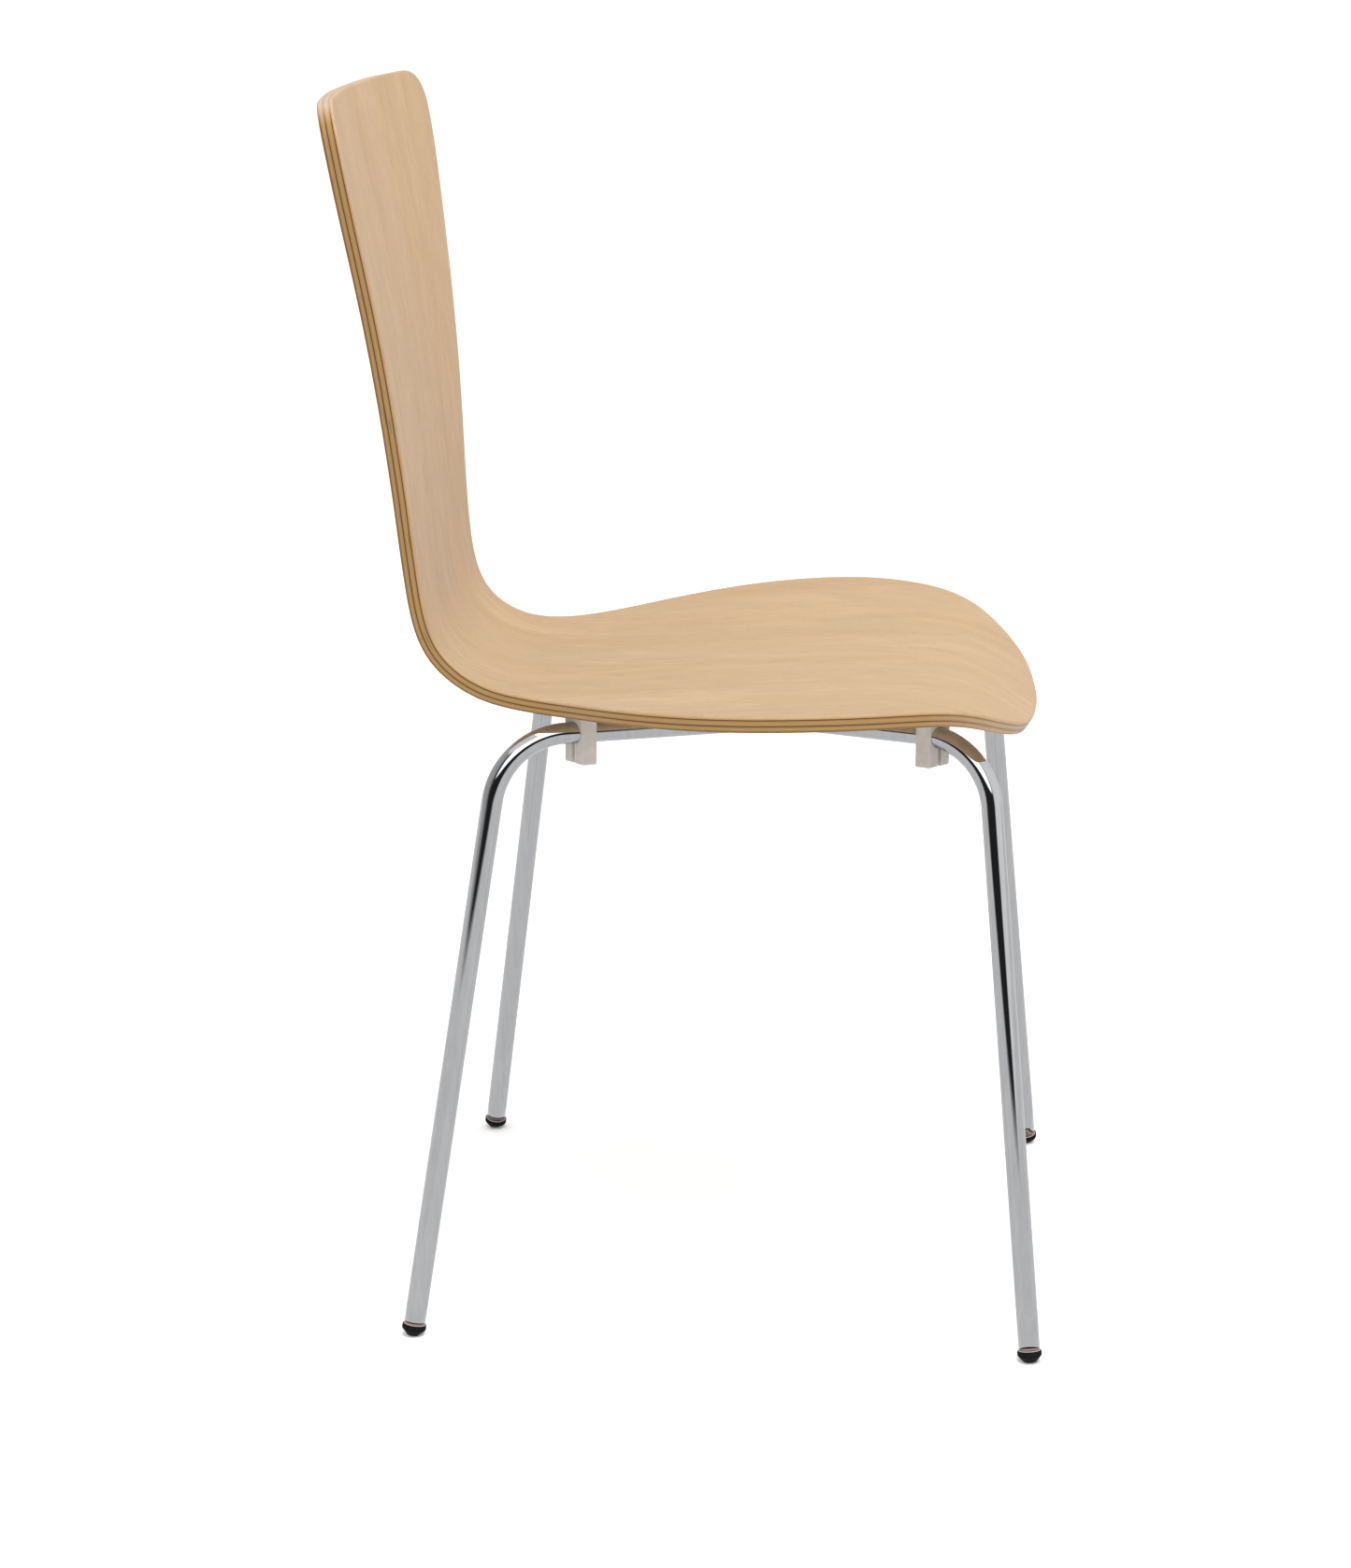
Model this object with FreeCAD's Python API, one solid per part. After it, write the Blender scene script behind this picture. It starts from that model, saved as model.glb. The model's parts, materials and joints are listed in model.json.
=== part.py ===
# Stacking chair: one moulded plywood shell on two bent tube side frames.
# The chair faces -Y, its right side is -X, and it stands on Z = 0. Millimetres.
import FreeCAD, Part
import math
import os
from FreeCAD import Vector as V
from FreeCAD import Base

# overall sizes
seat_height = 453.0      # crest of the seat on the centre line
back_height = 848.0      # middle of the top edge
seat_depth = 428.0       # front edge to the face of the back
seat_width = 445.0       # widest place of the seat
waist_width = 224.0      # narrowest place, where the back meets the seat
back_width = 359.0       # widest place of the back
front_edge_y = -211.0    # front edge from the middle of the foot pattern

# plywood shell
shell_thickness = 11.0
edge_break = 1.2         # broken edge all round, both faces
back_curve = 21.0        # how far the back's edges stand forward, 200 mm out
seat_curve = 5.2         # the same for the seat's dish

# tube side frames
tube_od = 15.0
tube_wall = 1.5
bend_radius = 54.0       # both knees, centre line
middle_bend_radius = 60.0
run_drop = 37.5          # seat crest down to the run's centre line
feet_span = 430.6        # front feet to rear feet, centre lines at the floor
front_feet_half = 209.0
rear_feet_half = 203.5
front_knee = (112.7, -175.7)   # X, Y of the corner before bending
rear_knee = (132.6, 157.0)
run_middle = (62.3, -34.5)     # where the two runs come closest

# feet
cap_wall = 0.95
cap_grip = 3.5           # straight part of the cap
cap_cone = 4.5           # tapered end, measured along the leg
cap_tip_radius = 4.3     # where the cone meets the floor
cap_floor = 4.2          # plastic under the tube's end
press_gap = 0.05

# stacking spacers
spacer_length = 11.7     # along the tube
spacer_width = 18.5      # across the tube
spacer_drop = 22.0       # tube centre down to the jaws' ends
spacer_slot = 3.6
spacer_skew = 26.0       # end faces turned from square, degrees
spacer_round = 1.6
spacer_gap = 0.15        # between spacer and tube
front_spacer_at = 34.2   # outer end from the knee corner, along the run
rear_spacer_at = 50.2

# centre plate, pad and fasteners
plate_size = (146.0, 96.0)
plate_thickness = 3.0
plate_corner = 12.0
pad_size = (104.0, 92.0)
hole_pitch = (60.0, 60.0)
screw_diameter = 6.0
screw_clearance = 0.6    # on diameter, plate and pad holes
head_radius = 5.6
head_height = 3.2
washer_radius = 7.5
washer_thickness = 1.2
insert_radius = 4.6
bead_radius = 3.4
bead_length = 22.0

tube_r = tube_od / 2
run_z = seat_height - run_drop
half_span = feet_span / 2
shapes = {}


def mirrored(shape):
    return shape.mirror(V(0, 0, 0), V(1, 0, 0))


# shell centre line, seen from the side, on the sitter's face
# seat: share of the depth from the front edge, height against the crest
seat_line = [(0, -34), (.118, -5.5), (.212, 0), (.353, -1), (.493, -5), (.634, -9.5),
             (.751, -12.5), (.844, -12), (.892, -8), (.967, 14.5)]
# back: share of the rise above the seat, lean against the face at seat level
back_line = [(.151, 0), (.303, .016), (.481, .0365), (.658, .065), (.835, .1017), (1, .138)]

rise = back_height - seat_height
line = [(front_edge_y + d * seat_depth, seat_height + h) for d, h in seat_line]
line += [(front_edge_y + seat_depth + lean * rise, seat_height + h * rise)
         for h, lean in back_line]
line.reverse()


def beyond(end, before, step):
    run = math.dist(end, before)
    return tuple(e + (e - b) * step / run for e, b in zip(end, before))


spare = 25.0             # surface past both ends, trimmed off by the outline
line = [beyond(line[0], line[1], spare)] + line + [beyond(line[-1], line[-2], spare)]
stations = [-spare]
for near, far in zip(line, line[1:]):
    stations.append(stations[-1] + math.dist(near, far))
shell_length = stations[-1] - spare


def spline(points, at=stations):
    curve = Part.BSplineCurve()
    curve.interpolate(Points=points, Parameters=at)
    return curve


centre_line = spline([V(0, y, z) for y, z in line])
curve_at = [-spare, .25 * shell_length, .5 * shell_length, .75 * shell_length,
            shell_length + spare]
curve_by = [back_curve, .6 * back_curve, 8.8, seat_curve, seat_curve + .2]
curving = spline([V(a, 0, b) for a, b in zip(curve_at, curve_by)], curve_at)
face_half = seat_width / 2 + 8


def towards_sitter(at):
    along = centre_line.tangent(at)[0]
    return V(0, along.z, -along.y)


def face_surface(depth):
    """Sheet at a depth under the sitter's face: across X, and along the centre line."""
    middle, side = [], []
    for (y, z), at in zip(line, stations):
        out = towards_sitter(at)
        point = V(0, y, z) - out * depth
        middle.append(point)
        side.append(point + out * (curving.value(at).z * (face_half / 200) ** 2))
    mid, edge = spline(middle), spline(side)
    sides = edge.getPoles()
    low = [2 * m - e for m, e in zip(mid.getPoles(), sides)]
    rows = [[V(-face_half, e.y, e.z) for e in sides], low,
            [V(face_half, e.y, e.z) for e in sides]]
    sheet = Part.BSplineSurface()
    sheet.buildFromPolesMultsKnots(rows, [3, 3], mid.getMultiplicities(),
                                   [-face_half, face_half], mid.getKnots(),
                                   False, False, 2, 3)
    return sheet


# outline of the blank: share of the length from the top edge, half width
back_half, waist_half, seat_half = back_width / 2, waist_width / 2, seat_width / 2


def between(low, high, share):
    return low + (high - low) * share


outline = [
    [(0, 0), (.0005, .44 * back_half), (.0025, .72 * back_half),
     (.0105, .92 * back_half), (.042, back_half)],
    [(.042, back_half), (.136, between(waist_half, back_half, .79)),
     (.262, between(waist_half, back_half, .43)),
     (.387, between(waist_half, back_half, .1)), (.475, waist_half)],
    [(.475, waist_half), (.555, between(waist_half, seat_half, .135)),
     (.635, between(waist_half, seat_half, .53)),
     (.714, between(waist_half, seat_half, .87)), (.801, seat_half)],
    [(.801, seat_half), (.8875, .91 * seat_half), (.93, .783 * seat_half),
     (.985, .46 * seat_half), (.9975, .19 * seat_half), (1, 0)],
]
turns = [(1, 0), (0, 1), (0, 1), (0, 1), (-1, 0)]   # directions where the pieces join


def outline_pieces(inset):
    """The blank's outline as a loop of plane curves, moved inwards by inset."""
    right, left = [], []
    for piece, start, end in zip(outline, turns, turns[1:]):
        points = [(u, share * shell_length) for share, u in piece]
        moved = []
        for i, (u, s) in enumerate(points):
            before, after = points[max(i - 1, 0)], points[min(i + 1, len(points) - 1)]
            way = (after[0] - before[0], after[1] - before[1])
            if i == 0:
                way = start
            if i == len(points) - 1:
                way = end
            size = math.hypot(*way)
            moved.append((u - inset * way[1] / size, s + inset * way[0] / size))
        curve = Part.Geom2d.BSplineCurve2d()
        curve.interpolate(Points=[Base.Vector2d(u, s) for u, s in moved],
                          InitialTangent=Base.Vector2d(*start),
                          FinalTangent=Base.Vector2d(*end))
        right.append(curve)
        twin = curve.copy()
        twin.mirror(Base.Vector2d(0, 0), Base.Vector2d(0, 1))
        twin.reverse()
        left.append(twin)
    return right + left[::-1]


def rim(depth, inset):
    sheet = face_surface(depth)
    return sheet, [curve.toShape(sheet) for curve in outline_pieces(inset)]


def blank_solid(thickness, edge):
    levels = [rim(0, edge), rim(edge, 0), rim(thickness - edge, 0), rim(thickness, edge)]
    faces = []
    for upper, lower in zip(levels, levels[1:]):
        for a, b in zip(upper[1], lower[1]):
            faces += Part.makeRuledSurface(a, b).Faces
    for sheet, edges in (levels[0], levels[-1]):
        faces.append(Part.Face(sheet, Part.Wire(edges)))
    shell = Part.makeShell(faces)
    shell.sewShape()
    solid = Part.makeSolid(shell if shell.ShapeType == "Shell" else shell.Shells[0])
    if solid.Volume < 0:
        solid.reverse()
    return solid


shell_blank = blank_solid(shell_thickness, edge_break)


def underside(x, y):
    """Height of the shell's lower face above a point of the seat."""
    probe = Part.makeLine(V(x, y, seat_height - 60), V(x, y, seat_height + 30))
    return min(v.Z for v in shell_blank.common(probe).Vertexes)


# side frames
def rounded_path(points, radii):
    """Straight tube centre line with an arc at each inner point."""
    edges, last = [], points[0]
    for before, corner, after, radius in zip(points, points[1:], points[2:], radii):
        a = (before - corner).normalize()
        b = (after - corner).normalize()
        half = math.acos(a.dot(b)) / 2
        start = corner + a * (radius / math.tan(half))
        end = corner + b * (radius / math.tan(half))
        middle = (a + b).normalize()
        centre = corner + middle * (radius / math.sin(half))
        edges.append(Part.makeLine(last, start))
        edges.append(Part.Arc(start, centre - middle * radius, end).toShape())
        last = end
    edges.append(Part.makeLine(last, points[-1]))
    return Part.Wire(edges)


def swept(path, radius):
    first = path.Edges[0]
    start = first.valueAt(first.FirstParameter)
    along = first.tangentAt(first.FirstParameter)
    ring = Part.Wire([Part.makeCircle(radius, start, along)])
    return path.makePipeShell([ring], True, False)


corners = {
    "front_foot": V(front_feet_half, -half_span, 0),
    "front_knee": V(front_knee[0], front_knee[1], run_z),
    "middle": V(run_middle[0], run_middle[1], run_z),
    "rear_knee": V(rear_knee[0], rear_knee[1], run_z),
    "rear_foot": V(rear_feet_half, half_span, 0),
}


def leg_axis(end):
    foot, knee = corners[end + "_foot"], corners[end + "_knee"]
    return foot, (knee - foot).normalize()


def tube_end(end):
    """Where the tube stops inside its cap."""
    foot, up = leg_axis(end)
    return foot + up * cap_floor


path = rounded_path([tube_end("front"), corners["front_knee"], corners["middle"],
                     corners["rear_knee"], tube_end("rear")],
                    [bend_radius, middle_bend_radius, bend_radius])
tube_body = swept(path, tube_r)
tube = tube_body.cut(swept(path, tube_r - tube_wall))
shapes["side_frame_left"] = tube
shapes["side_frame_right"] = mirrored(tube)


# feet: push-on caps in line with the legs, flat where they meet the floor
def foot_cap(end):
    foot, up = leg_axis(end)
    radius = tube_r + cap_wall
    base = -2.5
    point = cap_tip_radius + (radius - cap_tip_radius) * base / cap_cone
    cone = Part.makeCone(point, radius, cap_cone - base, foot + up * base, up)
    grip = Part.makeCylinder(radius, cap_grip, foot + up * cap_cone, up)
    cap = cone.fuse(grip).removeSplitter()
    hole = Part.makeCylinder(tube_r + press_gap, 40, foot + up * cap_floor, up)
    floor = Part.makeBox(80, 80, 40, foot - V(40, 40, 40))
    return cap.cut(hole).cut(floor)


for end in ("front", "rear"):
    cap = foot_cap(end)
    shapes["foot_" + end + "_left"] = cap
    shapes["foot_" + end + "_right"] = mirrored(cap)


# stacking spacers: a block round the tube, open below, under the shell
spacer_bore = swept(path, tube_r + spacer_gap)


def spacer(end, at):
    knee, middle = corners[end + "_knee"], corners["middle"]
    inwards = (middle - knee).normalize()
    side = V(0, 0, 1).cross(inwards)
    if side.x > 0:
        side = side * -1                     # towards the middle of the chair
    half = spacer_width / 2
    shift = half * math.tan(math.radians(spacer_skew))
    start = knee + inwards * at
    plan = [start + side * half - inwards * shift,
            start + side * half + inwards * (spacer_length - shift),
            start - side * half + inwards * (spacer_length + shift),
            start - side * half + inwards * shift]
    low = V(0, 0, -spacer_drop)
    plan = [p + low for p in plan]
    block = Part.Face(Part.makePolygon(plan + plan[:1]))
    top = underside(start.x, start.y) + shell_thickness / 2
    block = block.extrude(V(0, 0, top - (run_z - spacer_drop)))
    rounded = [e for e in block.Edges if abs(e.tangentAt(e.FirstParameter).z) > .9
               or e.BoundBox.ZMax < run_z - spacer_drop + .01]
    block = block.makeFillet(spacer_round, rounded)
    slot = Part.makeBox(60, spacer_slot, spacer_drop + 1,
                        V(-30, -spacer_slot / 2, -spacer_drop - 1))
    slot.rotate(V(0, 0, 0), V(0, 0, 1), math.degrees(math.atan2(inwards.y, inwards.x)))
    slot.translate(start)
    return block.cut(spacer_bore).cut(slot).cut(shell_blank).Solids


for end, at in (("front", front_spacer_at), ("rear", rear_spacer_at)):
    solids = sorted(spacer(end, at), key=lambda s: -s.Volume)
    lower = [s for s in solids if s.CenterOfMass.z < underside(*s.CenterOfMass[:2])]
    shapes["spacer_" + end + "_left"] = lower[0]
    shapes["spacer_" + end + "_right"] = mirrored(lower[0])

# centre plate on top of the two runs
plate_y = run_middle[1]
plate_bottom = run_z + tube_r
plate_top = plate_bottom + plate_thickness
screw_r = screw_diameter / 2
hole_r = screw_r + screw_clearance / 2
screw_spots = [(x * hole_pitch[0] / 2, plate_y + y * hole_pitch[1] / 2)
               for x in (-1, 1) for y in (-1, 1)]


def slab(size, thickness, bottom, corner):
    box = Part.makeBox(size[0], size[1], thickness,
                       V(-size[0] / 2, plate_y - size[1] / 2, bottom))
    upright = [e for e in box.Edges if abs(e.tangentAt(e.FirstParameter).z) > .9]
    return box.makeFillet(corner, upright)


def rods(radius, low, high):
    return [Part.makeCylinder(radius, high - low, V(x, y, low)) for x, y in screw_spots]


plate = slab(plate_size, plate_thickness, plate_bottom, plate_corner)
for hole in rods(hole_r, plate_bottom - 1, plate_top + 1):
    plate = plate.cut(hole)
shapes["centre_plate"] = plate

# pad: flat below, following the shell's underside above
pad_top = underside(0, plate_y) + shell_thickness / 2
pad = slab(pad_size, pad_top - plate_top, plate_top, plate_corner)
for hole in rods(hole_r, plate_top - 1, pad_top + 1):
    pad = pad.cut(hole)
pad = min(pad.cut(shell_blank).Solids, key=lambda s: s.CenterOfMass.z)
shapes["mounting_pad"] = pad


# weld beads in the corners between each run and the plate
def bead(end, side):
    away = (corners[end + "_knee"] - corners["middle"]).normalize()
    across = V(away.y, -away.x, 0) * side
    middle = corners["middle"] + away * 30 + across * (tube_r * .72)
    start = middle + V(0, 0, tube_r - 1.6) - away * (bead_length / 2)
    rod = Part.makeCylinder(bead_radius, bead_length, start, away)
    above = Part.makeBox(400, 400, 40, V(-200, -200, plate_bottom))
    return rod.cut(tube_body).cut(above).Solids[0]


beads = [bead(end, side) for end in ("front", "rear") for side in (1, -1)]
shapes["weld_beads"] = Part.makeCompound(beads + [mirrored(b) for b in beads])

# threaded inserts sunk in the shell, screws and washers from below
insert_depth = .7 * shell_thickness
shell, inserts, screws, washers = shell_blank, [], [], []
for x, y in screw_spots:
    low = underside(x, y)
    pocket = Part.makeCylinder(insert_radius, insert_depth + 3, V(x, y, low - 3))
    sleeve = Part.makeCylinder(insert_radius - press_gap, insert_depth + 2.9,
                               V(x, y, low - 3))
    sleeve = sleeve.cut(Part.makeCylinder(screw_r + press_gap, 60, V(x, y, low - 30)))
    inserts.append(max(sleeve.common(shell_blank).Solids, key=lambda s: s.Volume))
    shell = shell.cut(pocket)
    head_z = plate_bottom - washer_thickness
    shank = Part.makeCylinder(screw_r, low + insert_depth - 1 - head_z, V(x, y, head_z))
    head = Part.makeCylinder(head_radius, head_height, V(x, y, head_z - head_height))
    rim_edge = [e for e in head.Edges
                if e.BoundBox.ZMax < head_z - head_height + .01 and e.Length > 10]
    head = head.makeFillet(1.8, rim_edge[:1])
    key = Part.Face(Part.makePolygon([
        V(x + 2.3 * math.cos(k * math.pi / 3), y + 2.3 * math.sin(k * math.pi / 3),
          head_z - head_height) for k in range(7)])).extrude(V(0, 0, 2))
    screws.append(shank.fuse(head).removeSplitter().cut(key))
    ring = Part.makeCylinder(washer_radius, washer_thickness, V(x, y, head_z))
    washers.append(ring.cut(Part.makeCylinder(hole_r, 10, V(x, y, head_z - 2))))
shapes["seat_shell"] = shell
shapes["threaded_inserts"] = Part.makeCompound(inserts)
shapes["mounting_screws"] = Part.makeCompound(screws)
shapes["mounting_washers"] = Part.makeCompound(washers)

# origin in the middle of the footprint
boxes = [s.optimalBoundingBox() for s in shapes.values()]
middle_y = (min(b.YMin for b in boxes) + max(b.YMax for b in boxes)) / 2
os.makedirs("parts", exist_ok=True)
for name, shape in shapes.items():
    placed = shape.copy()
    placed.translate(V(0, -middle_y, 0))
    placed.exportStep("parts/" + name + ".step")
    print(name, shape.isValid(), len(shape.Solids), round(shape.Volume / 1000, 2))
print("moved by", round(-middle_y, 3))
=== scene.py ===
import json
import math
import bmesh
import bpy
import numpy as np
from mathutils import Matrix, Vector


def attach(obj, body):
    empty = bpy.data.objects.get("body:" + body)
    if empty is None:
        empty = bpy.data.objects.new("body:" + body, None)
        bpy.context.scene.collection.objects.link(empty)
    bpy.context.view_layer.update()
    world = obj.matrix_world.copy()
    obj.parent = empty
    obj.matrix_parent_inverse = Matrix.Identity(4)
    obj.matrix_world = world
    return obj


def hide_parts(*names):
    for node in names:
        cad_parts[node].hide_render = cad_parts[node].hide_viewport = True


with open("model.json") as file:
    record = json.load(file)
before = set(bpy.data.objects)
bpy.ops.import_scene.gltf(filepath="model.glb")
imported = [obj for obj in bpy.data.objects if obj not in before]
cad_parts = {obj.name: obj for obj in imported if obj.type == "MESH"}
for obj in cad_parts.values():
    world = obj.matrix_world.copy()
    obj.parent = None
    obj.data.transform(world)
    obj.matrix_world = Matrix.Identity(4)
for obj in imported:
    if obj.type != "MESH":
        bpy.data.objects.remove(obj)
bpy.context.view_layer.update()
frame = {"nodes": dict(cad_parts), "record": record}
nodes = frame["nodes"]
scene = bpy.context.scene
mm = 0.001

mounts = {m["name"]: Vector(m["pos_m"]) for m in frame["record"]["mounts"]}
frontFoot, rearFoot = mounts["foot_front_left_face"], mounts["foot_rear_left_face"]
middleY = (frontFoot.y + rearFoot.y) / 2  # sizes below count from between the feet
print("frame loaded:", len(nodes), "nodes, feet middle at", round(middleY, 4))


camera = {
    "place": (-2.4037, -0.1710, 1.0141), "looks": (0.9600, 0.0879, -0.2658),
    "lens": 79.1, "sensor": 36.0, "near": 0.05, "far": 60.0,
}

camData = bpy.data.cameras.new("camera")
camObject = bpy.data.objects.new("camera", camData)
scene.collection.objects.link(camObject)
camData.lens, camData.sensor_width = camera["lens"], camera["sensor"]
camData.clip_start, camData.clip_end = camera["near"], camera["far"]
camPlace = Vector(camera["place"]) + Vector((0, middleY, 0))
camAhead = Vector(camera["looks"]).normalized()
camSide = camAhead.cross(Vector((0, 0, 1))).normalized()
camUp = camSide.cross(camAhead)
camObject.matrix_world = Matrix.Translation(camPlace) @ Matrix(
    (camSide, camUp, -camAhead)).transposed().to_4x4()
scene.camera = camObject
print("camera placed")


# a mesh object at the origin from an array of points and an array of corner numbers
def meshPiece(name, points, faces, smooth=True):
    mesh = bpy.data.meshes.new(name)
    mesh.from_pydata(points.reshape(-1, 3).tolist(), [], faces.tolist())
    mesh.polygons.foreach_set("use_smooth", np.full(len(mesh.polygons), smooth))
    mesh.update()
    piece = bpy.data.objects.new(name, mesh)
    scene.collection.objects.link(piece)
    return piece


# corner numbers of the quads of a grid stored row by row; a closed side meets itself
def gridFaces(rows, columns, closeRows=False, closeColumns=False):
    r = np.arange(rows if closeRows else rows - 1)
    c = np.arange(columns if closeColumns else columns - 1)
    r, c = np.meshgrid(r, c, indexing="ij")
    rNext, cNext = (r + 1) % rows, (c + 1) % columns
    quads = np.stack([r * columns + c, r * columns + cNext,
                      rNext * columns + cNext, rNext * columns + c], axis=-1)
    return quads.reshape(-1, 4)


# merges points that share a place, then drops the corners that fell together
def weld(points, faces, near=1e-6):
    keys = np.round(points / near).astype(np.int64)
    _, first, same = np.unique(keys, axis=0, return_index=True, return_inverse=True)
    return first, same.reshape(-1)[faces]


# slope at one end of the cubic through the four points nearest that end
def endSlope(at, values, end):
    pick = slice(0, 4) if end == 0 else slice(-4, None)
    t, v = at[pick], values[pick]
    powers = np.vander(t - at[end], 4, increasing=True)
    return np.linalg.solve(powers, v)[1]


# cubic spline through the values: slopes at the points come from one linear system that
# makes the second derivative continuous, and each span is then the Hermite cubic between
# its two points
def smoothCurve(at, values, where, slopes=None):
    at, values = np.asarray(at, float), np.asarray(values, float)
    if values.ndim == 1:
        values = values[:, None]
    n, gap = len(at), np.diff(at)
    first, last = slopes if slopes else (endSlope(at, values, 0), endSlope(at, values, -1))
    system, right = np.zeros((n, n)), np.zeros_like(values)
    system[0, 0] = system[-1, -1] = 1
    right[0], right[-1] = first, last
    i = np.arange(1, n - 1)
    system[i, i - 1], system[i, i + 1] = 1 / gap[:-1], 1 / gap[1:]
    system[i, i] = 2 / gap[:-1] + 2 / gap[1:]
    rise = np.diff(values, axis=0) / gap[:, None] ** 2
    right[1:-1] = 3 * (rise[:-1] + rise[1:])
    m = np.linalg.solve(system, right)
    where = np.asarray(where, float)
    k = np.clip(np.searchsorted(at, where) - 1, 0, n - 2)
    h = gap[k][..., None]
    t = ((where - at[k]) / gap[k])[..., None]
    return ((1 + 2 * t) * (1 - t) ** 2 * values[k] + t * (1 - t) ** 2 * h * m[k]
            + t * t * (3 - 2 * t) * values[k + 1] + t * t * (t - 1) * h * m[k + 1])


def unit(v):
    return v / np.linalg.norm(v, axis=-1, keepdims=True)


plywoodShell = {
    "seatHeight": 453.0, "backHeight": 848.0, "seatDepth": 428.0, "frontEdge": -211.0,
    "seatWidth": 445.0, "waistWidth": 224.0, "backWidth": 359.0,
    "thickness": 11.0, "round": 1.9,
    "spare": 25.0,        # the face line runs on this far past both ends
    # share of the face line, and how far the sheet curves in at curveOut from the middle
    "curve": [(0, 21.0), (.25, 12.6), (.5, 8.8), (.75, 5.2), (1, 5.4)], "curveOut": 200.0,
    "stations": 230,      # along each half of the outline
    "bunching": 45,       # how much closer they stand where the outline bends
    "acrossFace": 22, "acrossRound": 6, "acrossEdge": 10,
    "spineFrom": .08, "spineLong": .80,  # where the faces' centre line starts, and its length
    "fan": 1.25,          # the face's rows stand closer towards the rim
}
# share of the seat's depth, height against its crest
seatLine = [(0, -34), (.118, -5.5), (.212, 0), (.353, -1), (.493, -5), (.634, -9.5),
            (.751, -12.5), (.844, -12), (.892, -8), (.967, 14.5)]
# share of the back's rise, lean
backLine = [(.151, 0), (.303, .016), (.481, .0365), (.658, .065), (.835, .1017), (1, .138)]


# stations along the sitter's face, from the top edge to the front edge, the points and
# normals of that line there, and how far it curves across
def shellLine(s):
    rise = s["backHeight"] - s["seatHeight"]
    line = [(s["frontEdge"] + d * s["seatDepth"], s["seatHeight"] + h) for d, h in seatLine]
    line += [(s["frontEdge"] + s["seatDepth"] + lean * rise, s["seatHeight"] + h * rise)
             for h, lean in backLine]
    line = np.array(line[::-1])
    head = line[0] + unit(line[0] - line[1]) * s["spare"]
    tail = line[-1] + unit(line[-1] - line[-2]) * s["spare"]
    line = np.vstack([head, line, tail])
    at = np.concatenate([[0], np.cumsum(np.linalg.norm(np.diff(line, axis=0), axis=1))])
    at = at - s["spare"]
    long = at[-1] - s["spare"]
    step = 0.01
    ahead = smoothCurve(at, line, at + step) - smoothCurve(at, line, at - step)
    ahead = unit(ahead)
    normal = np.stack([ahead[:, 1], -ahead[:, 0]], axis=1)
    bendAt, bendBy = np.array(s["curve"]).T
    bendAt = bendAt * long + s["spare"] * np.array([-1, 0, 0, 0, 1])
    bend = smoothCurve(bendAt, bendBy, at)
    return at, line, normal, normal * bend, long


stationsAt, facePoints, faceNormals, faceBends, shellLong = shellLine(plywoodShell)


# place on the moulded sheet: the face line at that station, less the normal times the
# depth, plus the crossways curve times the square of the distance across
def shellPlace(across, along, depth):
    centre = smoothCurve(stationsAt, facePoints, along)
    normal = smoothCurve(stationsAt, faceNormals, along)
    bend = smoothCurve(stationsAt, faceBends, along)
    curved = (across / plywoodShell["curveOut"]) ** 2
    yz = centre - normal * depth[..., None] + bend * curved[..., None]
    return np.stack([across * mm, yz[..., 0] * mm + middleY, yz[..., 1] * mm], axis=-1)


# half the blank's outline, from the middle of the top edge round to the middle of the
# front edge: four splines joined at the widest and narrowest places
def shellOutline(s):
    back, waist, seat = s["backWidth"] / 2, s["waistWidth"] / 2, s["seatWidth"] / 2

    def part(low, high, share):
        return low + (high - low) * share

    runs = [
        [(0, 0), (.0005, .44 * back), (.0025, .72 * back), (.0105, .92 * back), (.042, back)],
        [(.042, back), (.136, part(waist, back, .79)), (.262, part(waist, back, .43)),
         (.387, part(waist, back, .1)), (.475, waist)],
        [(.475, waist), (.555, part(waist, seat, .135)), (.635, part(waist, seat, .53)),
         (.714, part(waist, seat, .87)), (.801, seat)],
        [(.801, seat), (.8875, .91 * seat), (.93, .783 * seat), (.985, .46 * seat),
         (.9975, .19 * seat), (1, 0)]]
    turns = np.array([(1, 0), (0, 1), (0, 1), (0, 1), (-1, 0)], float)
    pieces = []
    for run, start, end in zip(runs, turns, turns[1:]):
        points = np.array([(u, share * shellLong) for share, u in run])
        at = np.concatenate([[0], np.cumsum(np.linalg.norm(np.diff(points, axis=0), axis=1))])
        slopes = (start * np.linalg.norm(endSlope(at, points, 0)),
                  end * np.linalg.norm(endSlope(at, points, -1)))
        pieces.append(smoothCurve(at, points, np.linspace(0, at[-1], 400), slopes)[:-1])
    dense = np.vstack(pieces + [[[0, shellLong]]])
    walked = np.concatenate([[0], np.cumsum(np.linalg.norm(np.diff(dense, axis=0), axis=1))])
    bend = np.abs(np.gradient(np.unwrap(np.arctan2(*np.gradient(dense, axis=0).T)), walked))
    weight = np.cumsum(np.concatenate([[0], np.diff(walked) * (1 + s["bunching"] * bend[1:])]))
    spots = np.interp(np.linspace(0, weight[-1], s["stations"]), weight, walked)
    half = np.stack([np.interp(spots, walked, dense[:, k]) for k in (0, 1)], axis=1)
    half[0, 0] = half[-1, 0] = 0
    return half, spots


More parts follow.
